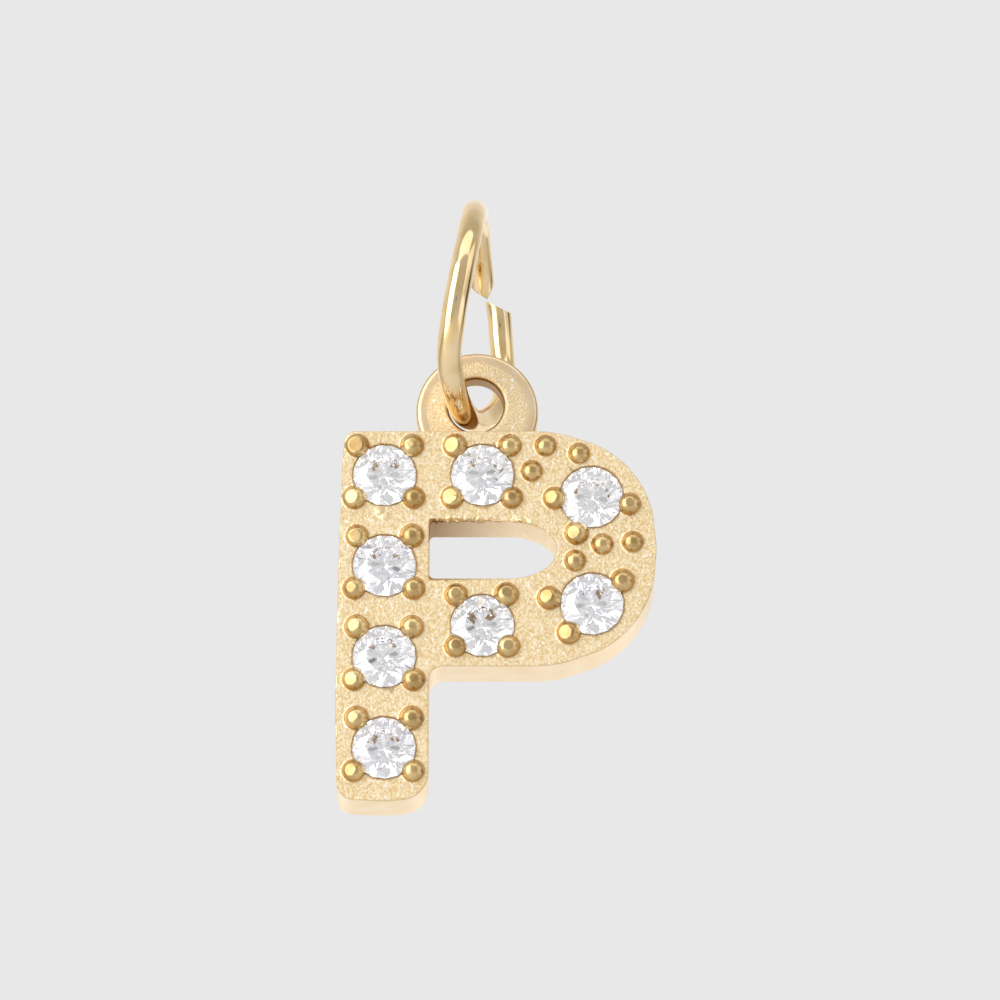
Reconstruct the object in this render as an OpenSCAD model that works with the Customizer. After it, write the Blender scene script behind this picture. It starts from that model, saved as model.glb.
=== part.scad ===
// Initial pendant: a cast letter P with an eye on its top edge, eight round
// stones held by bead prongs, and an open jump ring through the eye.
// Millimetres, +Z up, the letter's face looks along -Y and its bowl towards +X.
// The origin is the inside of the jump ring's top, where a chain carries it.

/* [Letter] */
// Height of the letter
letter_h = 9.1; // [8.6:0.05:12]
// Thickness of the letter, front to back
letter_t = 1.5; // [1.3:0.05:2.2]
// Width of the stem
stem_w = 2.22; // [2.04:0.02:2.6]
// Outer radius of the bowl
bowl_r = 2.9; // [2.8:0.05:3.2]
// Reach of the bowl's right side, from the stem's right edge
bowl_reach = 5.41; // [5.25:0.02:6.2]
// Thickness of the arm above the counter
top_arm = 2.23; // [2.1:0.01:2.5]
// Height of the counter, the opening in the bowl
counter_h = 1.41; // [1.0:0.01:1.6]
// Reach of the counter's right end, from the stem's right edge
counter_reach = 3.04; // [2.6:0.02:3.2]
// Length of the counter's rounded right end
counter_end = 1.16; // [0.7:0.02:1.4]
// Radius at the letter's top left corner
top_corner = 0.25; // [0.1:0.01:0.4]
// Radius at the stem's foot
foot_corner = 0.36; // [0.1:0.01:0.5]
// How far the foot bulges down in its middle
foot_belly = 0.07; // [0.03:0.01:0.12]
// Radius where the stem meets the bowl's underside
inner_corner = 0.35; // [0.1:0.01:0.6]
// Radius of the counter's two left corners
counter_corner = 0.12; // [0.06:0.01:0.3]

/* [Stones] */
// Diameter of each round stone across its girdle
stone_d = 1.5; // [1.3:0.02:1.6]
// Height of a stone's crown, girdle to table
crown_h = 0.22; // [0.15:0.01:0.3]
// Depth of a stone's pavilion, girdle to point
pavilion_h = 0.62; // [0.5:0.01:0.7]
// Height of the girdle band
girdle_h = 0.04; // [0.02:0.01:0.08]
// Width of the table, as a share of the stone's diameter
table_share = 0.58; // [0.5:0.01:0.65]
// Clearance between a stone and its seat
seat_gap = 0.02; // [0.01:0.005:0.04]
// Drop of the first row of stones, from the letter's top edge
first_row = 1.09; // [1.0:0.01:1.2]
// Rise of the stem's last stone above its foot
last_row = 1.31; // [1.2:0.01:1.4]
// Place of the two arm stones, from the stem's right edge
arm_stone_x = 1.27; // [1.1:0.01:1.4]

/* [Prongs] */
// Radius of a bead prong
prong_r = 0.285; // [0.2:0.005:0.3]
// Height of a bead prong above the face
prong_h = 0.24; // [0.15:0.01:0.28]
// How far a prong reaches in over a stone's edge
prong_grip = 0.06; // [0.02:0.01:0.1]
// Radius of a decorative bead
bead_r = 0.26; // [0.18:0.01:0.3]
// Height of a decorative bead above the face
bead_h = 0.2; // [0.1:0.01:0.24]

/* [Eye] */
// Outer radius of the eye
eye_r = 1.46; // [1.4:0.01:1.8]
// Thickness of the eye, front to back
eye_t = 0.75; // [0.5:0.05:1.0]
// Rounding of the eye's rim
eye_round = 0.12; // [0.05:0.01:0.2]
// Height of the eye's centre above the letter's top edge
eye_rise = 0.59; // [0.45:0.01:0.9]
// Height of the hole's centre above the eye's centre
hole_rise = 0.16; // [0:0.01:0.2]
// Place of the eye, from the stem's right edge
eye_x = 1.14; // [1.0:0.02:1.4]
// Play of the ring's wire in the eye's hole, on the radius
eye_play = 0.36; // [0.3:0.01:0.4]

/* [Jump ring] */
// Thickness of the ring's round wire
wire_d = 0.6; // [0.5:0.02:0.7]
// Inside diameter of the ring
ring_inside_d = 4.4; // [4.0:0.1:6]
// Turn of the ring about the vertical
ring_yaw = 12; // [0:1:18]
// Lean of the ring to the right
ring_lean = 7; // [0:1:9]
// Sideways twist that holds the ring's ends apart
ring_twist = 7.6; // [6.5:0.1:12]
// Where the upper end stops, in degrees back from the ring's top
upper_end = 62; // [40:1:64]
// Where the lower end stops, in degrees back from the ring's top
lower_end = 69; // [67:1:100]
// Gap between the wire and the lowest part of the hole
wire_rest = 0.16; // [0.1:0.01:0.3]

/* [Hidden] */
$fn = 96;

// Letter plane: x from the stem's right edge, y up from the letter's top edge
bowl_x = bowl_reach - bowl_r;
bowl_y = -bowl_r;
counter_top = -top_arm;
counter_low = counter_top - counter_h;
counter_x = counter_reach - counter_end;
low_arm = 2 * bowl_r + counter_low;
face = letter_t / 2;

// The stem's left edge, top to foot: [share of the height, share of the stem's width]
stem_side = [[0, 0.9], [0.08, 0.932], [0.4, 0.975], [0.75, 1], [1, 0.98]];
// The foot's lowest point, as a share of the stem's width, and the curve of its belly
foot_low_share = 0.55;
foot_belly_r = 4;

// Prongs of a stone: [direction in degrees, distance as a share of prong_ring]
corners = [[48, 1], [132, 1], [218, 0.93], [321, 0.91]];
low_arm_corners = [[53, 0.97], [130, 1], [219, 0.79], [320, 0.77]];
upper_bowl_prongs = [[-11, 0.94], [182, 0.9], [248, 0.99]];
lower_bowl_prongs = [[38, 0.94], [172, 1.05], [232, 0.92]];

// Stones: [x, y, prongs, turn about its own axis in degrees]
stem_turns = [9, 31, 18, 3];
stem_pitch = (letter_h - first_row - last_row) / 3;
stem_row_share = 0.477;
low_row_share = 0.534;
stem_row = -stem_w * stem_row_share;
function on_bowl(turn, share) = [bowl_x + bowl_r * share * cos(turn),
                                 bowl_y + bowl_r * share * sin(turn)];
upper_on_bowl = on_bowl(43, 0.641);
lower_on_bowl = on_bowl(-45, 0.666);

// The bowl is fuller than a circle at its two corners, each a smaller circle: [direction
// from the bowl's centre, share of its radius]
fuller_corners = [[39, 0.218], [-38, 0.218]];
fuller_r = bowl_r * 0.817;
low_row = counter_low - low_arm * low_row_share;
STONES = [
    for (i = [0:3]) [stem_row, -first_row - i * stem_pitch, corners, stem_turns[i]],
    [arm_stone_x, -first_row, corners, 25],
    [arm_stone_x, low_row, low_arm_corners, 12],
    [upper_on_bowl.x, upper_on_bowl.y, upper_bowl_prongs, 37],
    [lower_on_bowl.x, lower_on_bowl.y, lower_bowl_prongs, 6]
];

// Decorative beads on the bowl: [direction from the bowl's centre, share of its radius]
BEADS = [[84, 0.876], [65.5, 0.885], [92, 0.656], [3.3, 0.556], [3.7, 0.807], [-18.3, 0.348]];

// The lower girdle facets end at this share of the stone's radius
lower_share = 0.24;
// Flat at the bottom of a seat, under the stone's point
seat_floor_r = 0.08;

stone_r = stone_d / 2;
table_r = stone_r * table_share;
prong_ring = stone_r + prong_r - prong_grip;
seat_r = stone_r + seat_gap;

// The hole's middle stands this far left of the eye's, and the wire in it this far
// left of the hole's middle and in front of the letter's middle plane
hole_aside = 0.03;
wire_aside = 0.14;
wire_forward = 0.2;

// The lowest point of the ring's middle line, seen from the letter's own corner
wire_r = wire_d / 2;
ring_r = (ring_inside_d + wire_d) / 2;
hole_r = wire_r + eye_play;
hole_x = eye_x - hole_aside;
hole_z = eye_rise + hole_rise;
ring_low = [hole_x - wire_aside, -wire_forward, hole_z - hole_r + wire_rest + wire_r];

// What a cutter takes off the wire's two ends, in wire diameters: [along the wire, sideways]
PINCHED_CUT = [[1, -1], [-0.85, -1], [-0.05, 0], [-0.85, 1], [1, 1]];
SLANTED_CUT = [[1, -1], [0.2, -1], [-0.7, 1], [1, 1]];

function about_z(a, p) = [p.x * cos(a) - p.y * sin(a), p.x * sin(a) + p.y * cos(a), p.z];
function about_y(a, p) = [p.x * cos(a) + p.z * sin(a), p.y, p.z * cos(a) - p.x * sin(a)];
function ring_place(p) = ring_low + about_z(-ring_yaw, about_y(ring_lean, p + [0, 0, ring_r]));
ring_seat = ring_place(about_z(ring_twist, [0, ring_r, ring_r - wire_r]) - [0, ring_r, 0]);

// Outline points with rounded corners, from rows of [x, y, corner radius]
function unit(v) = v / norm(v);
function corner(a, p, b, r, steps = 8) =
    r == 0 ? [p] :
    let (u = unit(a - p), v = unit(b - p), half = acos(u * v) / 2,
         middle = p + unit(u + v) * r / sin(half),
         from = p + u * r / tan(half) - middle, to = p + v * r / tan(half) - middle)
    [for (k = [0:steps])
        let (w = from * (1 - k / steps) + to * (k / steps)) middle + unit(w) * r];
function rounded(rows) = [
    for (i = [0:len(rows) - 1])
        let (n = len(rows), a = rows[(i + n - 1) % n], p = rows[i], b = rows[(i + 1) % n])
        each corner([a.x, a.y], [p.x, p.y], [b.x, b.y], p.z)
];

module letter_outline() {
    last = len(stem_side) - 1;
    polygon(rounded([
        [-stem_w * stem_side[0][1], 0, top_corner],
        [bowl_x, 0, 0],
        [bowl_x, -2 * bowl_r, 0],
        [0, -2 * bowl_r, inner_corner],
        [0, foot_belly - letter_h, foot_corner],
        [-stem_w * foot_low_share, -letter_h, foot_belly_r],
        [-stem_w * stem_side[last][1], foot_belly - letter_h, foot_corner],
        for (i = [last - 1:-1:1]) [-stem_w * stem_side[i][1], -letter_h * stem_side[i][0], 0]
    ]));
    translate([bowl_x, bowl_y]) circle(r = bowl_r);
    for (c = fuller_corners) translate(on_bowl(c[0], c[1])) circle(r = fuller_r);
}

module counter_outline() {
    middle = (counter_top + counter_low) / 2;
    polygon(rounded([
        [0, counter_top, counter_corner],
        for (a = [90:-10:-90])
            [counter_x + counter_end * cos(a), middle + counter_h / 2 * sin(a), 0],
        [0, counter_low, counter_corner]
    ]));
}

// A dome of the given foot radius and height, standing on the face
module bead(r, h) {
    ball = (r * r + h * h) / (2 * h);
    translate([0, 0, face + h - ball]) sphere(r = ball);
}

// Space that a stone and its clearance take out of the metal
module seat() {
    deep = girdle_h + pavilion_h + 2 * seat_gap;
    high = crown_h + 2 * seat_gap;
    translate([0, 0, face])
        rotate_extrude()
            polygon([[0, -deep], [seat_floor_r, -deep], [seat_r, -girdle_h - seat_gap],
                     [seat_r, seat_gap], [table_r + seat_gap, high], [0, high]]);
}

module eye_disc() {
    inner = eye_r - eye_round;
    rotate_extrude() {
        translate([0, -eye_t / 2]) square([inner, eye_t]);
        translate([0, -eye_t / 2 + eye_round]) square([eye_r, eye_t - 2 * eye_round]);
        for (s = [-1, 1])
            translate([inner, s * (eye_t / 2 - eye_round)]) circle(r = eye_round);
    }
}

// Letter, eye, prongs and beads: one casting, drawn lying on its back
module casting() {
    difference() {
        union() {
            translate([0, 0, -face]) linear_extrude(letter_t) letter_outline();
            translate([eye_x, eye_rise, 0]) eye_disc();
            for (s = STONES, p = s[2])
                translate([s.x, s.y, 0]) rotate([0, 0, p[0]])
                    translate([prong_ring * p[1], 0, 0]) bead(prong_r, prong_h);
            for (b = BEADS) translate(on_bowl(b[0], b[1])) bead(bead_r, bead_h);
        }
        translate([0, 0, -letter_t]) linear_extrude(2 * letter_t) counter_outline();
        translate([hole_x, hole_z, -letter_t]) cylinder(r = hole_r, h = 2 * letter_t);
        for (s = STONES) translate([s.x, s.y, 0]) seat();
    }
}

// Round brilliant: table, 8 stars, 8 kites, 16 upper girdle facets, 16 girdle
// faces, 16 lower girdle facets and 8 pavilion mains, girdle's top at z = 0
module brilliant() {
    star_r = (table_r + stone_r) / 2;
    lower_r = stone_r * lower_share;
    step = 45;
    star_z = crown_h * (stone_r - star_r * cos(step / 2)) / (stone_r - table_r);
    lower_z = -girdle_h - pavilion_h * (1 - lower_r * cos(step / 2) / stone_r);
    points = [
        for (i = [0:7]) [table_r * cos(step * i), table_r * sin(step * i), crown_h],
        for (i = [0:7]) [star_r * cos(step * (i + 0.5)), star_r * sin(step * (i + 0.5)), star_z],
        for (i = [0:15]) [stone_r * cos(step * i / 2), stone_r * sin(step * i / 2), 0],
        for (i = [0:15]) [stone_r * cos(step * i / 2), stone_r * sin(step * i / 2), -girdle_h],
        for (i = [0:7]) [lower_r * cos(step * (i + 0.5)), lower_r * sin(step * (i + 0.5)), lower_z],
        [0, 0, -girdle_h - pavilion_h]
    ];
    star = 8;
    top = 16;
    under = 32;
    low = 48;
    tip = 56;
    faces = [
        [for (i = [7:-1:0]) i],
        for (i = [0:7]) let (j = (i + 1) % 8) [i, j, star + i],
        for (i = [0:7]) let (h = (i + 7) % 8) [i, star + i, top + 2 * i, star + h],
        for (i = [0:7]) [star + i, top + 2 * i + 1, top + 2 * i],
        for (i = [0:7]) [star + i, top + (2 * i + 2) % 16, top + 2 * i + 1],
        for (i = [0:15]) let (j = (i + 1) % 16) [top + i, top + j, under + j, under + i],
        for (i = [0:7]) [low + i, under + 2 * i, under + 2 * i + 1],
        for (i = [0:7]) [low + i, under + 2 * i + 1, under + (2 * i + 2) % 16],
        for (i = [0:7]) let (h = (i + 7) % 8) [tip, low + h, under + 2 * i, low + i]
    ];
    polyhedron(points, faces);
}

// Stands the lying letter up, its face to -Y, and moves the origin to the ring's top
module stand() {
    translate(-ring_seat) rotate([90, 0, 0]) children();
}

module letter() {
    color("#e6c48c") stand() casting();
}

module stone(i) {
    color("#eef0f4")
        stand() translate([STONES[i].x, STONES[i].y, face])
            rotate([0, 0, STONES[i][3]]) brilliant();
}

// A run of the ring's wire: it leaves the origin along +Y and bends towards -X,
// and its end is cut to an outline
module run(sweep, cut) {
    translate([-ring_r, 0, 0])
        difference() {
            rotate_extrude(angle = sweep) translate([ring_r, 0]) circle(r = wire_r);
            rotate([0, 0, sweep]) translate([ring_r - wire_d, 0, 0])
                rotate([90, 0, 90]) linear_extrude(2 * wire_d) polygon(cut * wire_d);
        }
}

// The ring is bent open: both runs start at its front, the lower one downwards and the
// upper one upwards, turned about the wire there
module jump_ring() {
    color("#e9cf94")
        translate(ring_low - ring_seat) rotate([0, 0, -ring_yaw]) rotate([0, ring_lean, 0])
            translate([0, -ring_r, ring_r]) rotate([-90, 0, -90]) {
                run(270 - lower_end, SLANTED_CUT);
                rotate([0, -ring_twist, 0]) rotate([180, 0, 0]) run(90 + upper_end, PINCHED_CUT);
            }
}

letter();
jump_ring();
stone(0);  // stem_stone_1
stone(1);  // stem_stone_2
stone(2);  // stem_stone_3
stone(3);  // stem_stone_4
stone(4);  // arm_stone_upper
stone(5);  // arm_stone_lower
stone(6);  // bowl_stone_upper
stone(7);  // bowl_stone_lower
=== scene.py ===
"""Initial pendant: a cast letter P set with eight round stones, on an open jump ring."""

import math
import random

import bmesh
import bpy
from mathutils import Matrix, Vector


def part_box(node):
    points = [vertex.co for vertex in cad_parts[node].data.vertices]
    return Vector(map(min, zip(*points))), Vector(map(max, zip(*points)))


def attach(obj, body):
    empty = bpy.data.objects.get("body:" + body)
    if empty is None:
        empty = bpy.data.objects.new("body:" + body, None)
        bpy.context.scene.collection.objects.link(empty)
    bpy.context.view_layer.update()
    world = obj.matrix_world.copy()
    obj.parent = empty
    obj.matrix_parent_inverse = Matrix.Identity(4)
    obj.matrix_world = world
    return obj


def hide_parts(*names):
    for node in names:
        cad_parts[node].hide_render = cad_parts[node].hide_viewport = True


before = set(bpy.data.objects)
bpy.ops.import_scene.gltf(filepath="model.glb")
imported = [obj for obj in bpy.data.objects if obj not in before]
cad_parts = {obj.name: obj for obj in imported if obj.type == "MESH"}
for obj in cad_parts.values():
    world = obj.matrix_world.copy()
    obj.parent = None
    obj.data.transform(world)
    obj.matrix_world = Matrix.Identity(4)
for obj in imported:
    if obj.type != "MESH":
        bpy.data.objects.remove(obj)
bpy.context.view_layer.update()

MM = 0.001
# Points nearer a cutting plane than this lie on it
HAIR = 1e-6 * MM
# Points nearer a level or a corner than these belong to it
NEAR_LEVEL = 0.01 * MM
NEAR_CORNER = 0.03 * MM
# Edges bent more than this many degrees are rounded, and faces bent less are shaded as one
SHARP = 40
SMOOTH = 50

# Sizes of the casting, in millimetres
HEIGHT = 9.1
THICK = 1.5
STEM_W = 2.22
BOWL_R = 2.9
BOWL_REACH = 5.41
TOP_ARM = 2.23
COUNTER_H = 1.41
COUNTER_REACH = 3.04
COUNTER_END = 1.16
TOP_CORNER = 0.25
FOOT_CORNER = 0.36
FOOT_RIGHT_CORNER = 1.75 * FOOT_CORNER
FOOT_BELLY = 0.07
FOOT_LOW_SHARE = 0.55
INNER_CORNER = 0.35
COUNTER_CORNER = 0.12
# The stem's left side, top to foot: (share of the height, share of the stem's width)
STEM_SIDE = [(0, 0.9), (0.08, 0.932), (0.4, 0.975), (0.75, 1), (1, 0.98)]
# The bowl's fuller corners: (direction from its centre, share of its radius)
FULLER_CORNERS = [(39, 0.218), (-38, 0.218)]
FULLER_R = BOWL_R * 0.817

EYE_R = 1.46
EYE_T = 0.75
EYE_ROUND = 0.12
EYE_X = 1.14
EYE_RISE = 0.59
HOLE_R = 0.66
HOLE_X = 1.11
HOLE_RISE = 0.75

STONE_R = 0.75
SEAT_R = 0.775
SEAT_DEEP = 0.7
SEAT_TIP_R = 0.08
# How far behind its table a stone's silvering starts, just in front of its girdle
FOIL_START = 0.215
PRONG_R = 0.285
PRONG_H = 0.24
# Each prong laps this far over its stone
PRONG_LAP = 0.06
PRONG_RING = STONE_R + PRONG_R - PRONG_LAP
# What the hand does to each prong: shares of its radius and height, degrees of lean and of nod
HAND_RADIUS = (0.95, 1.03)
HAND_HEIGHT = (0.92, 1.02)
HAND_LEAN = 3
HAND_NOD = 6
BEAD_R = 0.26
BEAD_H = 0.2

WIRE_R = 0.3
RING_R = 2.5
RING_YAW = 12
RING_LEAN = 7
# Lowest point of the wire's middle line, from the letter's corner
RING_LOW = (0.97, -0.2, 0.5)
# The wire starts this many degrees back from the ring's top, below its gap, and runs this far
# round. It is spun short of a full turn, so that its ends stay apart, and drawn out afterwards
WIRE_START = 57
WIRE_RUN = 376
WIRE_SPUN = 350
WIRE_SIDES = 40
WIRE_STEPS = 180
# How the wire is bent sideways: (degrees along it from its lower end, millimetres to the right)
SIDEWAYS = [
    (0, -0.29), (7, -0.25), (19, -0.17), (33, -0.07), (52, 0.12), (68, 0.26), (84, 0.22),
    (100, 0.08), (116, -0.03), (132, -0.09), (157, -0.17), (175, -0.2), (194, -0.12),
    (217, -0.035), (242, -0.03), (262, -0.13), (282, -0.29), (303, -0.46), (323, -0.6),
    (343, -0.655), (369, -0.61), (376, -0.59),
]
# Where the wire was nipped: the stretch that a cut reaches, in degrees along the wire, and the
# cut itself, seen from the front, between two places (x, z) of the letter's plane. What lies to
# the right of its way is gone
NIPS = [
    (-5, 30, (1.969, 2.921), (1.307, 3.237)),
    (WIRE_RUN - 35, WIRE_RUN + 5, (1.069, 3.509), (1.378, 3.274)),
    (WIRE_RUN - 35, WIRE_RUN + 5, (1.378, 3.274), (1.514, 3.59)),
]
NIP_ROUND = 0.02

# How far the casting's edges are rounded, and how finely its skin is drawn
FRONT_ROUND = 0.1
BACK_ROUND = 0.08
CASTING_GRAIN = 0.028
CASTING_FACES = 190000
# Share of FRONT_ROUND at the counter's stem end, and what it gains towards the bowl
COUNTER_ROUND = 0.3
COUNTER_GAIN = 0.6

# Crumbs of metal along the counter's edge: how far they reach from it, their grain, their rise,
# and how far they stop short of the bowl's end
CRUMB_REACH = 0.13
CRUMB_GRAIN = 0.06
CRUMB_RISE = 0.2
CRUMB_END = 0.6

# Polish, from 0 on the cast skin to 1 on a dome's top
WALL_POLISH = 0.45
EYE_POLISH = 0.4
COUNTER_POLISH = 0.22
# Painted shade as darker gold: 1 at a dome's foot and on a rounded edge, most in the eye's hole
DARKEST_PAINTED_SHADE = 1.25
EYE_BAND_SHADE = 0.2
EYE_BAND = 0.26
# In the counter the painted shade falls by 1 over this many millimetres from the stem
COUNTER_SHADE_FADE = 1.6
# Thickness of the cast skin, from which a dome's polish grows and the painted shade at its foot
# fades
SKIN = 0.01
DOME_POLISH = 0.03
DOME_FOOT_SHADE = 0.09
# What a finished surface may stand off the plain form it is told by
SPARE = 0.03

# The casting's own corner: stem's right edge, middle of the thickness, top edge
letter_low, letter_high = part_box("letter")
CORNER = Vector((
    letter_low.x + STEM_W * MM, letter_high.y - THICK / 2 * MM, letter_low.z + HEIGHT * MM,
))
FACE_Y = -THICK / 2
BOWL = (BOWL_REACH - BOWL_R, -BOWL_R)
COUNTER_Z = -TOP_ARM - COUNTER_H / 2

# The photograph looks up at the piece from below. Millimetres, from the ring's top
TILT = math.radians(15.5)
CAMERA_AWAY = 250
CAMERA_AIM = Vector((0.483, -0.478, -6.96)) * MM
CAMERA_PLACE = CAMERA_AIM - Vector((0, math.cos(TILT), math.sin(TILT))) * CAMERA_AWAY * MM
# Lens and film, in millimetres of the camera
LENS = 378
FILM = 36

# Prongs round a stone: (direction in degrees, distance as a share of PRONG_RING, share of the
# dome's height that is left under its pressed top, degrees that this top leans to the left)
PRONGS = {
    "stem_stone_1": [
        (48, 1, 0.93, 10), (132, 1, 0.66, 16), (218, 0.93, 0.84, 23), (321, 0.91, 0.98, 5),
    ],
    "stem_stone_2": [
        (48, 1, 0.98, 4), (132, 1, 0.78, 13), (218, 0.93, 0.9, 19), (321, 0.91, 0.96, 3),
    ],
    "stem_stone_3": [
        (48, 1, 0.97, 5), (132, 1, 0.88, 15), (218, 0.93, 0.84, 22), (321, 0.91, 0.96, 4),
    ],
    "stem_stone_4": [
        (48, 1, 0.96, 6), (132, 1, 0.93, 12), (218, 0.93, 0.88, 20), (321, 0.91, 0.98, 4),
    ],
    "arm_stone_upper": [
        (48, 1, 0.97, 5), (132, 1, 0.8, 24), (218, 0.93, 0.72, 21), (321, 0.91, 0.96, 6),
    ],
    "arm_stone_lower": [
        (53, 0.97, 0.9, 0), (130, 1, 0.88, 4), (219, 0.83, 0.9, 6), (320, 0.81, 0.9, 0),
    ],
    "bowl_stone_upper": [(-11, 0.94, 0.93, 5), (182, 0.9, 0.88, 22), (248, 0.99, 0.85, 20)],
    "bowl_stone_lower": [(38, 0.94, 0.94, 6), (172, 1.05, 0.86, 22), (232, 0.92, 0.84, 23)],
}
# Each top keeps this share of that lean
LEAN_SHARE = 0.85

# Beads that only decorate: (direction from the bowl's centre, share of its radius)
BEADS = [(84, 0.876), (65.5, 0.885), (92, 0.656), (3.3, 0.556), (3.7, 0.807), (-18.3, 0.348)]

# Small runs of metal that the casting kept: (x, z, radius, height) in the letter's plane
CASTING_SPOTS = [(-1.17, -2.0, 0.11, 0.06), (-1.06, -2.1, 0.12, 0.045)]

by_hand = random.Random(11)


# Making shapes

def start():
    """Nothing is selected before a new shape is added."""
    bpy.ops.object.select_all(action="DESELECT")


def work_on(obj):
    start()
    obj.select_set(True)
    bpy.context.view_layer.objects.active = obj


def settle(obj):
    """Puts an object's place, turn and size into its mesh."""
    work_on(obj)
    bpy.ops.object.transform_apply(location=True, rotation=True, scale=True)
    return obj


def at(x, y, z):
    """A point of the letter's own plane, in metres in the row frame."""
    return CORNER + Vector((x, y, z)) * MM


def block(low, high):
    """A box between two points of the letter's plane."""
    start()
    middle = [(a + b) / 2 for a, b in zip(low, high)]
    size = [(b - a) * MM for a, b in zip(low, high)]
    bpy.ops.mesh.primitive_cube_add(size=1, location=at(*middle), scale=size)
    return settle(bpy.context.object)


def disc(x, z, radius, thick, sides, wide=1, y=0):
    """A disc that lies in the letter's plane, its axis along Y."""
    start()
    bpy.ops.mesh.primitive_cylinder_add(
        vertices=sides, radius=radius * MM, depth=thick * MM,
        location=at(x, y, z), rotation=(math.pi / 2, 0, 0), scale=(wide, 1, 1),
    )
    return settle(bpy.context.object)


def finish_with(obj, kind, **settings):
    """Adds a modifier, sets it and applies it."""
    work_on(obj)
    modifier = obj.modifiers.new(kind.lower(), kind)
    for name, value in settings.items():
        setattr(modifier, name, value)
    bpy.ops.object.modifier_apply(modifier=modifier.name)


def combine(obj, other, operation, solver="MANIFOLD"):
    """Cuts another shape out of this one, or melts it in."""
    finish_with(obj, "BOOLEAN", object=other, operation=operation, solver=solver)
    bpy.data.objects.remove(other)
    return obj


def join(shapes):
    start()
    for shape in shapes:
        shape.select_set(True)
    bpy.context.view_layer.objects.active = shapes[0]
    bpy.ops.object.join()
    return shapes[0]


def edit(obj, kind="FACE", wanted=None):
    """Goes into edit mode, with all of a shape selected or only its wanted points."""
    work_on(obj)
    bpy.ops.object.mode_set(mode="EDIT")
    bpy.ops.mesh.select_mode(type=kind)
    bpy.ops.mesh.select_all(action="DESELECT" if wanted else "SELECT")
    mesh = bmesh.from_edit_mesh(obj.data)
    if wanted:
        for v in mesh.verts:
            v.select_set(wanted(v))
        bmesh.update_edit_mesh(obj.data)
    return mesh


def leave():
    bpy.ops.object.mode_set(mode="OBJECT")


def round_edges(obj, share, radius, steps):
    """Rounds the edges of a shape, each by its own share of a radius."""
    mesh = edit(obj)
    weight = mesh.edges.layers.float.new("bevel_weight_edge")
    for edge in mesh.edges:
        edge[weight] = share(edge)
    leave()
    finish_with(obj, "BEVEL", limit_method="WEIGHT", width=radius * MM, segments=steps)
    obj.data.attributes.remove(obj.data.attributes["bevel_weight_edge"])
    return obj


def split(obj, place, direction):
    """Draws a cut line right round a shape without taking anything off."""
    edit(obj)
    bpy.ops.mesh.bisect(plane_co=place, plane_no=direction, threshold=HAIR)
    leave()


def cut_selected(place, direction):
    """Takes off what lies beyond a plane and closes the cut, on what is selected in edit mode."""
    bpy.ops.mesh.bisect(
        plane_co=place, plane_no=direction, clear_outer=True, use_fill=True, threshold=HAIR,
    )
    leave()


def slice_off(obj, place, direction):
    """Takes off what lies beyond a plane, all through a shape."""
    edit(obj)
    cut_selected(place, direction)


def melt_flat(obj):
    """Takes out the lines that unions leave across flat faces."""
    edit(obj)
    bpy.ops.mesh.dissolve_limited(angle_limit=math.radians(0.3))
    leave()


def face_outwards(obj):
    edit(obj)
    bpy.ops.mesh.normals_make_consistent(inside=False)
    leave()


def smooth(obj):
    work_on(obj)
    bpy.ops.object.shade_smooth_by_angle(angle=math.radians(SMOOTH))


def is_sharp(edge):
    return len(edge.link_faces) == 2 and edge.calc_face_angle() > math.radians(SHARP)


def on_level(edge, y):
    """Tells whether a sharp edge lies at one depth of the letter."""
    depth = at(0, y, 0).y
    return is_sharp(edge) and all(abs(v.co.y - depth) < NEAR_LEVEL for v in edge.verts)


def limited(value):
    """A number held between 0 and 1."""
    return min(1, max(0, value))


# The casting

def on_bowl(turn, share):
    """A place seen from the bowl's centre: its direction, and a share of the bowl's radius."""
    a = math.radians(turn)
    return BOWL[0] + BOWL_R * share * math.cos(a), BOWL[1] + BOWL_R * share * math.sin(a)


def stem_block():
    """The stem, its left side led in towards the top and its foot slightly bellied."""
    half = THICK / 2
    foot_low = -STEM_W * FOOT_LOW_SHARE
    stem = block((-STEM_W, -half, -HEIGHT), (0, half, 0))
    for share, _ in STEM_SIDE[1:-1]:
        split(stem, at(0, 0, -HEIGHT * share), (0, 0, 1))
    split(stem, at(foot_low, 0, 0), (1, 0, 0))
    left = at(-STEM_W, 0, 0).x
    for share, width in STEM_SIDE:
        level = at(0, 0, -HEIGHT * share).z
        edit(stem, "VERT", lambda v: abs(v.co.z - level) + abs(v.co.x - left) < NEAR_LEVEL)
        bpy.ops.transform.translate(value=((1 - width) * STEM_W * MM, 0, 0))
        leave()
    # The foot's two ends rise, and the line between them stays down
    middle = at(foot_low, 0, 0).x
    foot = at(0, 0, -HEIGHT).z
    well_off = 0.1 * MM
    edit(stem, "VERT", lambda v: v.co.z - foot < NEAR_LEVEL and abs(v.co.x - middle) > well_off)
    bpy.ops.transform.translate(value=(0, 0, FOOT_BELLY * MM))
    leave()
    return stem


def counter_block():
    """What the counter takes out: square at the stem, a half ellipse at the bowl."""
    x = COUNTER_REACH - COUNTER_END
    low = (0, -THICK, COUNTER_Z - COUNTER_H / 2)
    high = (x, THICK, COUNTER_Z + COUNTER_H / 2)
    end = disc(x, COUNTER_Z, COUNTER_H / 2, 2 * THICK, 96, COUNTER_END / (COUNTER_H / 2))
    return combine(block(low, high), end, "UNION", "EXACT")


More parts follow.
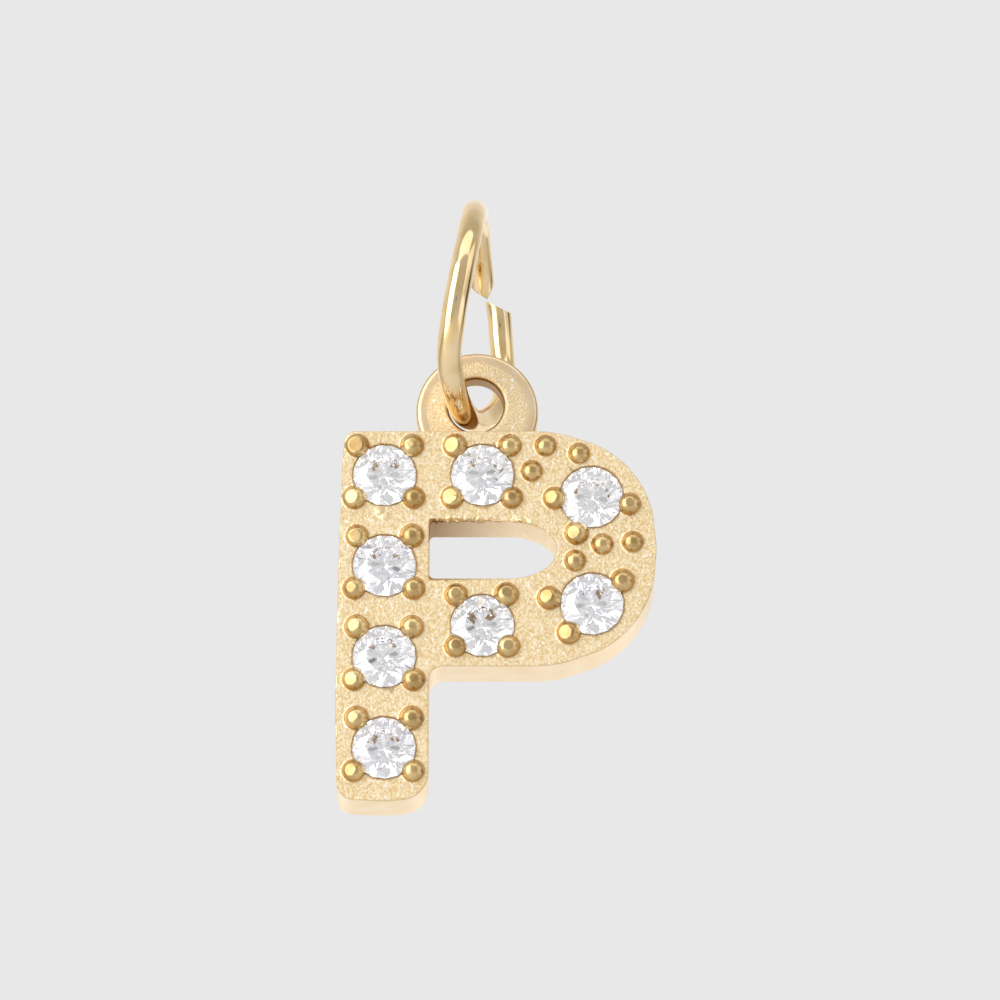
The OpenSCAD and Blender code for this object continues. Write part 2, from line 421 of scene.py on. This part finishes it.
def front_share(edge):
    """How far a front edge is rounded: the outline fully, the counter's bowl end nearly so."""
    if not on_level(edge, FACE_Y):
        return 0
    x, _, z = (edge.verts[0].co + edge.verts[1].co) / 2 / MM - CORNER / MM
    margin = 0.1
    beside = abs(z - COUNTER_Z) < COUNTER_H / 2 + margin
    if not (beside and -margin < x < COUNTER_REACH + margin):
        return 1
    # The gain is complete after two thirds of the counter's round end
    to_bowl = (x - COUNTER_REACH + COUNTER_END) / COUNTER_END
    return COUNTER_ROUND + COUNTER_GAIN * limited(to_bowl * 1.5)


def letter_block():
    """The letter's own block: stem, arms and bowl, with the counter cut out."""
    half = THICK / 2
    into_stem = -0.2
    letter = stem_block()
    arms = block((into_stem, -half, -2 * BOWL_R), (BOWL[0], half, 0))
    combine(letter, arms, "UNION", "EXACT")
    combine(letter, disc(*BOWL, BOWL_R, THICK, 160), "UNION", "EXACT")
    for turn, share in FULLER_CORNERS:
        combine(letter, disc(*on_bowl(turn, share), FULLER_R, THICK, 144), "UNION", "EXACT")
    combine(letter, counter_block(), "DIFFERENCE", "EXACT")
    melt_flat(letter)

    foot = FOOT_BELLY - HEIGHT
    for x, z, radius in (
        (-STEM_W * STEM_SIDE[0][1], 0, TOP_CORNER),
        (-STEM_W * STEM_SIDE[-1][1], foot, FOOT_CORNER),
        (-STEM_W * FOOT_LOW_SHARE, -HEIGHT, FOOT_CORNER),
        (0, foot, FOOT_RIGHT_CORNER),
        (0, -2 * BOWL_R, INNER_CORNER),
        (0, -TOP_ARM, COUNTER_CORNER),
        (0, -TOP_ARM - COUNTER_H, COUNTER_CORNER),
    ):
        place = at(x, 0, z).xz
        round_edges(
            letter, lambda e: all((v.co.xz - place).length < NEAR_CORNER for v in e.verts),
            radius, 8,
        )
    round_edges(letter, front_share, FRONT_ROUND, 5)
    round_edges(letter, lambda e: on_level(e, half), BACK_ROUND, 4)
    return letter


def eye_block():
    """The eye on the letter's top edge, with its hole."""
    eye = disc(EYE_X, EYE_RISE, EYE_R, EYE_T, 96)
    combine(eye, disc(HOLE_X, HOLE_RISE, HOLE_R, 2 * EYE_T, 96), "DIFFERENCE", "EXACT")
    return round_edges(eye, is_sharp, EYE_ROUND, 5)


def dome(x, z, radius, height):
    """A bead that stands on the letter's face."""
    ball = (radius * radius + height * height) / (2 * height)
    start()
    bpy.ops.mesh.primitive_uv_sphere_add(
        segments=36, ring_count=24, radius=ball * MM,
        location=at(x, FACE_Y - height + ball, z), rotation=(math.pi / 2, 0, 0),
    )
    return settle(bpy.context.object)


def prong(x, z, left_high, lean_left):
    """A bead prong as the setter leaves it: pressed a little flat, never quite square."""
    radius = PRONG_R * by_hand.uniform(*HAND_RADIUS)
    height = PRONG_H * by_hand.uniform(*HAND_HEIGHT)
    shape = dome(x, z, radius, height)
    left = math.radians(LEAN_SHARE * lean_left + by_hand.uniform(-HAND_LEAN, HAND_LEAN))
    up = math.radians(by_hand.uniform(-HAND_NOD, HAND_NOD))
    off = Vector((-math.sin(left), -math.cos(left), math.sin(up)))
    slice_off(shape, at(x, FACE_Y - height * left_high, z), off)
    return shape


def stone_place(name):
    """Middle of a stone in the letter's plane, in millimetres."""
    low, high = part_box(name)
    middle = ((low + high) / 2 - CORNER) / MM
    return middle.x, middle.z


def seat(x, z):
    """The cone that a stone takes out of the face; the prongs keep their lips over its girdle."""
    start()
    bpy.ops.mesh.primitive_cone_add(
        vertices=72, radius1=SEAT_R * MM, radius2=SEAT_TIP_R * MM, depth=SEAT_DEEP * MM,
        location=at(x, FACE_Y + 0.02 + SEAT_DEEP / 2, z), rotation=(-math.pi / 2, 0, 0),
    )
    cone = settle(bpy.context.object)
    # Its mouth stands only 0.03 mm in front of the face
    mouth = disc(x, z, SEAT_R, 0.08, 72, y=FACE_Y + 0.01)
    return combine(cone, mouth, "UNION", "EXACT")


def prong_places():
    """Each prong in turn, as its place in the letter's plane and how its top is pressed."""
    for name, prongs in PRONGS.items():
        x, z = stone_place(name)
        for turn, share, left_high, lean_left in prongs:
            a = math.radians(turn)
            reach = PRONG_RING * share
            yield x + reach * math.cos(a), z + reach * math.sin(a), left_high, lean_left


def cast_letter():
    """The whole casting: its shapes melted into one skin, with the stones' seats cut out."""
    shapes = [letter_block(), eye_block()]
    shapes += [prong(*place) for place in prong_places()]
    shapes += [dome(*on_bowl(*bead), BEAD_R, BEAD_H) for bead in BEADS]
    shapes += [dome(*spot) for spot in CASTING_SPOTS]
    casting = join(shapes)
    casting.name = "letter_casting"
    finish_with(casting, "REMESH", mode="VOXEL", voxel_size=CASTING_GRAIN * MM)
    for name in PRONGS:
        combine(casting, seat(*stone_place(name)), "DIFFERENCE")
    faces = sum(len(p.vertices) - 2 for p in casting.data.polygons)
    finish_with(casting, "DECIMATE", ratio=min(1.0, CASTING_FACES / faces))
    roughen_counter(casting)
    mark_polish_and_painted_shade(casting)
    smooth(casting)
    return casting


def roughen_counter(casting):
    """Small crumbs of metal that the casting left along the counter's upper front edge."""
    group = casting.vertex_groups.new(name="counter_edge")
    edge_z = COUNTER_Z + COUNTER_H / 2
    for v in casting.data.vertices:
        p = (v.co - CORNER) / MM
        away = max(abs(p.z - edge_z), abs(p.y - FACE_Y)) / CRUMB_REACH
        if 0.05 < p.x < COUNTER_REACH - CRUMB_END and away < 1:
            group.add([v.index], 1 - away, "REPLACE")
    crumbs = bpy.data.textures.new("crumbs", "CLOUDS")
    crumbs.noise_scale = CRUMB_GRAIN * MM
    finish_with(
        casting, "DISPLACE", texture=crumbs, vertex_group=group.name,
        strength=CRUMB_RISE * MM, mid_level=0.45, texture_coords="LOCAL",
    )
    casting.vertex_groups.clear()


def on_dome(p, round_tops):
    """Tells whether a point in front of the face belongs to one of the domes."""
    return any(
        (p.x - x) ** 2 + (p.z - z) ** 2 < (radius + SPARE) ** 2 for x, z, radius in round_tops
    )


def mark_polish_and_painted_shade(casting):
    """Writes on each vertex how far it was polished, and how much shade is painted on it as darker
    gold.

    Domes are polished fully, walls and the eye's outer band half, the counter less and the face
    not at all. Shade is painted as darker gold along the rounded edges, round the foot of each
    dome, in the counter's stem end, in the eye's hole and a little on the eye's outer band.
    """
    round_tops = [(x, z, PRONG_R) for x, z, *_ in prong_places()]
    round_tops += [(*on_bowl(*bead), BEAD_R) for bead in BEADS]
    polish = casting.data.attributes.new("polish", "FLOAT", "POINT")
    rim = casting.data.attributes.new("rim", "FLOAT", "POINT")
    for v, shine, painted_dark in zip(casting.data.vertices, polish.data, rim.data):
        p = (v.co - CORNER) / MM
        proud = FACE_Y - p.y - SKIN
        if proud > 0 and on_dome(p, round_tops):
            # A dome: its polish grows towards the top, and shade is painted round its foot
            shine.value = limited(proud / DOME_POLISH)
            painted_dark.value = limited(1 - proud / DOME_FOOT_SHADE)
            continue
        # A normal's y is -1 on the face and 0 on a wall, and the rounded edges lie about -0.65
        facing = v.normal.y
        wall = limited((facing + 0.9) / 0.3)
        beside = abs(p.z - COUNTER_Z) < COUNTER_H / 2 + 0.05
        inner = beside and 0 < p.x < COUNTER_REACH + 0.05 and facing < 0.5
        shine.value = (COUNTER_POLISH if inner else WALL_POLISH) * wall
        # Shade is painted as a band along the rounded edges
        painted_dark.value = limited(1 - abs(facing + 0.65) / 0.3)
        # Shade is painted in the counter's stem end, where the stem keeps the light off, fading
        # towards the bowl
        if inner:
            painted_dark.value = max(painted_dark.value, DARKEST_PAINTED_SHADE - max(0, p.x) / COUNTER_SHADE_FADE)
        on_front = p.z > 0.1 and p.y < 0
        if math.hypot(p.x - HOLE_X, p.z - HOLE_RISE) < HOLE_R + SPARE:
            # Shade is painted in the eye's hole
            painted_dark.value = DARKEST_PAINTED_SHADE
        elif on_front and math.hypot(p.x - EYE_X, p.z - EYE_RISE) > EYE_R - EYE_BAND:
            shine.value = EYE_POLISH
            # A little shade is painted on the eye's outer band, along its rounded rim
            painted_dark.value = max(painted_dark.value, EYE_BAND_SHADE)


# The jump ring

def ring_place(turn, radius, side):
    """A point of the ring, from its turn back from the top, in the row frame."""
    a = math.radians(turn)
    p = Vector((side, radius * math.sin(a), RING_R + radius * math.cos(a)))
    p.rotate(Matrix.Rotation(math.radians(RING_LEAN), 3, "Y"))
    p.rotate(Matrix.Rotation(math.radians(-RING_YAW), 3, "Z"))
    return CORNER + (Vector(RING_LOW) + p) * MM


def smooth_row(rows, at_turn):
    """A smooth curve through rows of (turn, value)."""
    last = len(rows) - 1
    i = max(k for k in range(last) if k == 0 or rows[k][0] <= at_turn)
    (t0, v0), (t1, v1) = rows[i], rows[i + 1]

    def slope(k):
        low, high = rows[max(k - 1, 0)], rows[min(k + 1, last)]
        return (high[1] - low[1]) / (high[0] - low[0]) * (t1 - t0)

    u = (at_turn - t0) / (t1 - t0)
    return (
        (2 * u ** 3 - 3 * u ** 2 + 1) * v0 + (u ** 3 - 2 * u ** 2 + u) * slope(i)
        + (3 * u ** 2 - 2 * u ** 3) * v1 + (u ** 3 - u ** 2) * slope(i + 1)
    )


def nip(ring, low, high, *cut):
    """Nips the wire between two turns along it, on a line seen from the front."""
    mesh = edit(ring)
    along = mesh.verts.layers.float["along"]
    bpy.ops.mesh.select_all(action="DESELECT")
    for face in mesh.faces:
        face.select_set(all(low < v[along] < high for v in face.verts))
    bmesh.update_edit_mesh(ring.data)
    first, second = [at(x, FACE_Y, z) for x, z in cut]
    cut_selected(first, (first - CAMERA_PLACE).cross(second - CAMERA_PLACE))


def jump_ring():
    """Round wire spun into a ring, bent open sideways, its two ends nipped off."""
    a = math.radians(WIRE_START)
    start()
    bpy.ops.mesh.primitive_circle_add(
        vertices=WIRE_SIDES, radius=WIRE_R * MM, fill_type="NOTHING",
        location=(0, RING_R * MM * math.sin(a), RING_R * MM * math.cos(a)),
        rotation=(math.pi / 2 - a, 0, 0),
    )
    ring = settle(bpy.context.object)
    ring.name = "bent_jump_ring"
    edit(ring, "VERT")
    bpy.ops.mesh.spin(
        steps=WIRE_STEPS, angle=math.radians(WIRE_SPUN), center=(0, 0, 0), axis=(1, 0, 0),
    )
    leave()
    mark = ring.data.attributes.new("along", "FLOAT", "POINT")
    # The first turn may read a hair below nothing, so the count wraps one degree before it
    slack = 1
    for v, row in zip(ring.data.vertices, mark.data):
        p = v.co / MM
        spun = (math.degrees(math.atan2(p.y, p.z)) - WIRE_START + slack) % 360 - slack
        row.value = spun * WIRE_RUN / WIRE_SPUN
        side = p.x + smooth_row(SIDEWAYS, row.value)
        v.co = ring_place(WIRE_START + row.value, math.hypot(p.y, p.z), side)
    for cut in NIPS:
        nip(ring, *cut)
    face_outwards(ring)
    round_edges(ring, is_sharp, NIP_ROUND, 2)
    ring.data.attributes.remove(ring.data.attributes["along"])
    smooth(ring)
    return ring


# Materials

def linear(code):
    """An sRGB hex colour as linear red, green, blue and alpha."""
    parts = [int(code[i:i + 2], 16) / 255 for i in (0, 2, 4)]
    return (*[c / 12.92 if c <= 0.04045 else ((c + 0.055) / 1.055) ** 2.4 for c in parts], 1.0)


def node(tree, kind, settings=None, links=None, out=0):
    """Adds a node with its settings, colour stops and links, and gives back one output of it."""
    made = tree.nodes.new(kind)
    for name, value in (settings or {}).items():
        if name == "stops":
            for stop, (position, code) in zip(made.color_ramp.elements, value):
                stop.position = position
                stop.color = linear(code)
        elif isinstance(name, int) or name in made.inputs:
            made.inputs[name].default_value = value
        else:
            setattr(made, name, value)
    for name, source in (links or {}).items():
        tree.links.new(source, made.inputs[name])
    return made.outputs[out]


def new_material(name, sockets):
    """A material, its nodes, and its shader with these values on the shader's own sockets."""
    material = bpy.data.materials.new(name)
    material.use_nodes = True
    tree = material.node_tree
    surface = tree.nodes["Principled BSDF"]
    for socket, value in sockets.items():
        surface.inputs[socket].default_value = value
    return material, tree, surface


def cast_gold():
    """Gold plate on a tumbled casting: a fine sugary grain on the face, bright deeper beads, and
    shade painted in as darker gold.
    """
    material, tree, surface = new_material("gold_plated_casting", {"Metallic": 1.0})
    place = {"Vector": node(tree, "ShaderNodeTexCoord", out="Object")}
    polish = node(tree, "ShaderNodeAttribute", {"attribute_name": "polish"}, out="Fac")
    rim = node(tree, "ShaderNodeAttribute", {"attribute_name": "rim"}, out="Fac")
    # Grain of the cast skin: grit of about 0.05 mm, pale on its tops and deeper gold between
    pattern = {"Scale": 1 / (0.05 * MM), "Detail": 2.0}
    grain = node(tree, "ShaderNodeTexNoise", pattern, place)
    stops = [(0.35, "e6c78e"), (0.62, "fbeac8")]
    tone = node(tree, "ShaderNodeValToRGB", {"stops": stops}, {"Fac": grain})
    # Single bright grains, about 0.1 mm across and a few to each millimetre
    pattern = {"Scale": 1 / (0.12 * MM), "Detail": 1.0}
    fleck = node(tree, "ShaderNodeTexNoise", pattern, place)
    limits = {"From Min": 0.65, "From Max": 0.71}
    share = node(tree, "ShaderNodeMapRange", limits, {"Value": fleck})
    over = {"Color2": linear("fffaf0")}
    tone = node(tree, "ShaderNodeMixRGB", over, {"Fac": share, "Color1": tone})
    # Cloudiness of the plate, about 0.6 mm across: warmer and paler patches, which show on the
    # walls first and then, deeper, on the domes, each between two measures of the polish
    pattern = {"Scale": 1 / (0.6 * MM), "Detail": 3.0}
    cloud = node(tree, "ShaderNodeTexNoise", pattern, place)
    for low, high, warm, pale in ((0, 0.4, "f6dcb0", "fae5c4"), (0.5, 0.9, "b29260", "d6ba86")):
        stops = [(0.35, warm), (0.65, pale)]
        clouded = node(tree, "ShaderNodeValToRGB", {"stops": stops}, {"Fac": cloud})
        limits = {"From Min": low, "From Max": high}
        share = node(tree, "ShaderNodeMapRange", limits, {"Value": polish})
        layers = {"Fac": share, "Color1": tone, "Color2": clouded}
        tone = node(tree, "ShaderNodeMixRGB", links=layers)
    # Painted shade as darker gold: along the rounded edges, round the feet of the domes, in the
    # counter's stem end and in the eye's hole
    share = node(tree, "ShaderNodeMapRange", {"From Max": DARKEST_PAINTED_SHADE}, {"Value": rim})
    over = {"Color2": linear("a0742e")}
    tone = node(tree, "ShaderNodeMixRGB", over, {"Fac": share, "Color1": tone})
    tree.links.new(tone, surface.inputs["Base Color"])
    # The grain stands up to 0.02 mm on the face and is nearly gone from the polished walls
    limits = {"From Max": WALL_POLISH, "To Min": 0.6, "To Max": 0.05}
    height = {
        "Height": grain, "Strength": node(tree, "ShaderNodeMapRange", limits, {"Value": polish}),
    }
    bump = node(tree, "ShaderNodeBump", {"Distance": 0.02 * MM}, height)
    tree.links.new(bump, surface.inputs["Normal"])
    limits = {"To Min": 0.48, "To Max": 0.27}
    rough = node(tree, "ShaderNodeMapRange", limits, {"Value": polish})
    tree.links.new(rough, surface.inputs["Roughness"])
    return material


def wire_gold():
    """Gold plate on drawn wire, bright polished, with faint marks of the drawing."""
    material, tree, surface = new_material("gold_plated_drawn_wire", {"Metallic": 1.0})
    place = {"Vector": node(tree, "ShaderNodeTexCoord", out="Object")}
    # The marks are about 0.5 mm across: a little paler and a little duller than the wire
    pattern = {"Scale": 1 / (0.5 * MM), "Detail": 2.0}
    marks = node(tree, "ShaderNodeTexNoise", pattern, place)
    stops = [(0.35, "e2c48e"), (0.65, "ecd3a8")]
    tone = node(tree, "ShaderNodeValToRGB", {"stops": stops}, {"Fac": marks})
    tree.links.new(tone, surface.inputs["Base Color"])
    limits = {"To Min": 0.06, "To Max": 0.16}
    rough = node(tree, "ShaderNodeMapRange", limits, {"Value": marks})
    tree.links.new(rough, surface.inputs["Roughness"])
    return material


def foiled_zirconia():
    """Cut and polished cubic zirconia, silvered on the pavilion so that no gold shows through."""
    material, tree, surface = new_material(
        "foiled_cubic_zirconia", {"Roughness": 0.0, "IOR": 2.16, "Transmission Weight": 1.0},
    )
    place = {"Vector": node(tree, "ShaderNodeTexCoord", out="Object")}
    depth = node(tree, "ShaderNodeSeparateXYZ", links=place, out="Y")
    # All the stones lie at one depth, so one plane parts silvered from clear
    foil_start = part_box("stem_stone_1")[0].y + FOIL_START * MM
    behind = {"operation": "GREATER_THAN", 1: foil_start}
    foil = node(tree, "ShaderNodeMath", behind, {0: depth})
    tree.links.new(foil, surface.inputs["Metallic"])
    # A breath of blue in some parts of the foil, about 0.5 mm across
    pattern = {"Scale": 1 / (0.5 * MM), "Detail": 0.0}
    hue = node(tree, "ShaderNodeTexNoise", pattern, place)
    stops = [(0.5, "ffffff"), (0.8, "fafaff")]
    tone = node(tree, "ShaderNodeValToRGB", {"stops": stops}, {"Fac": hue})
    tree.links.new(tone, surface.inputs["Base Color"])
    return material


def wear(obj, material):
    obj.data.materials.clear()
    obj.data.materials.append(material)


casting = cast_letter()
wear(casting, cast_gold())
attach(casting, "letter")
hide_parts("letter")

ring = jump_ring()
wear(ring, wire_gold())
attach(ring, "ring")
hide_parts("jump_ring")

clear = foiled_zirconia()
for name in PRONGS:
    wear(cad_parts[name], clear)


# Floor, light and camera

BACKDROP = linear("e8e8e8")
# The floor's size and level, and the place that the lights aim at, in metres from the ring's top
FLOOR_SIZE = 3
FLOOR_LEVEL = -0.12
LIT_MIDDLE = Vector((0, 0, -0.008))


def look_from(place, target):
    return (target - place).to_track_quat("-Z", "Y").to_euler()


def softbox(name, place, size, power):
    """A rectangular light with its place and size in metres and its power in watts."""
    start()
    place = Vector(place)
    bpy.ops.object.light_add(type="AREA", location=place)
    light = bpy.context.object
    light.name = name
    light.data.shape = "RECTANGLE"
    light.data.size, light.data.size_y = size
    light.data.energy = power
    light.visible_camera = False
    light.rotation_euler = look_from(place, LIT_MIDDLE)


start()
bpy.ops.mesh.primitive_plane_add(size=FLOOR_SIZE, location=(0, 0, FLOOR_LEVEL))
floor = bpy.context.object
floor.name = "floor"
wear(floor, new_material("floor_paper", {"Roughness": 0.9, "Base Color": BACKDROP})[0])

softbox("left_softbox", (-0.2, -0.18, 0.03), (0.22, 0.34), 0.62)
softbox("front_top_softbox", (0.0, -0.14, 0.24), (0.4, 0.16), 0.2)
softbox("right_softbox", (0.26, -0.1, 0.02), (0.22, 0.34), 0.16)
softbox("low_back_softbox", (0.0, 0.26, -0.06), (0.4, 0.1), 0.065)

# The studio is white behind and to the left of the piece and dimmer behind the camera; the
# camera itself sees a plain pale backdrop
world = bpy.data.worlds.new("studio")
bpy.context.scene.world = world
world.use_nodes = True
studio = world.node_tree
direction = {0: node(studio, "ShaderNodeTexCoord", out="Generated")}
bright_side = {"operation": "DOT_PRODUCT", 1: (-0.3, 0.85, -0.25)}
brightness = node(studio, "ShaderNodeVectorMath", bright_side, direction, "Value")
brightness = node(studio, "ShaderNodeMapRange", {"From Min": -1.0}, {"Value": brightness})
stops = [(0.4, "d0d0d0"), (0.7, "fdfdfd")]
shade = node(studio, "ShaderNodeValToRGB", {"stops": stops}, {"Fac": brightness})
# Dark shapes in the studio: the camera itself, and a grey card at the right that gives the beads
# and the wire a darker side. Each has a direction, a soft edge as two cosines, and a tone
for towards, outer, inner, tone in (
    ((0, -math.cos(TILT), -math.sin(TILT)), 0.96, 0.98, "484848"),
    ((0.93, 0, -0.37), 0.7, 0.85, "606060"),
):
    dark_side = {"operation": "DOT_PRODUCT", 1: towards}
    nearness = node(studio, "ShaderNodeVectorMath", dark_side, direction, "Value")
    limits = {"From Min": outer, "From Max": inner}
    share = node(studio, "ShaderNodeMapRange", limits, {"Value": nearness})
    over = {"Color2": linear(tone)}
    shade = node(studio, "ShaderNodeMixRGB", over, {"Fac": share, "Color1": shade})
seen = node(studio, "ShaderNodeLightPath", out="Is Camera Ray")
sky = node(studio, "ShaderNodeMixRGB", {"Color2": BACKDROP}, {"Fac": seen, "Color1": shade})
studio.links.new(sky, studio.nodes["Background"].inputs["Color"])
bpy.context.scene.view_settings.view_transform = "Standard"
# Light crosses a silvered stone many times before it comes out, and a crossing left out shows black
stone_crossings = 64
bpy.context.scene.cycles.max_bounces = stone_crossings
bpy.context.scene.cycles.glossy_bounces = stone_crossings
bpy.context.scene.cycles.transmission_bounces = stone_crossings

start()
bpy.ops.object.camera_add(location=CAMERA_PLACE, rotation=look_from(CAMERA_PLACE, CAMERA_AIM))
camera = bpy.context.object
camera.data.lens = LENS
camera.data.sensor_width = FILM
camera.data.clip_start = 0.01
camera.data.clip_end = 10
bpy.context.scene.camera = camera
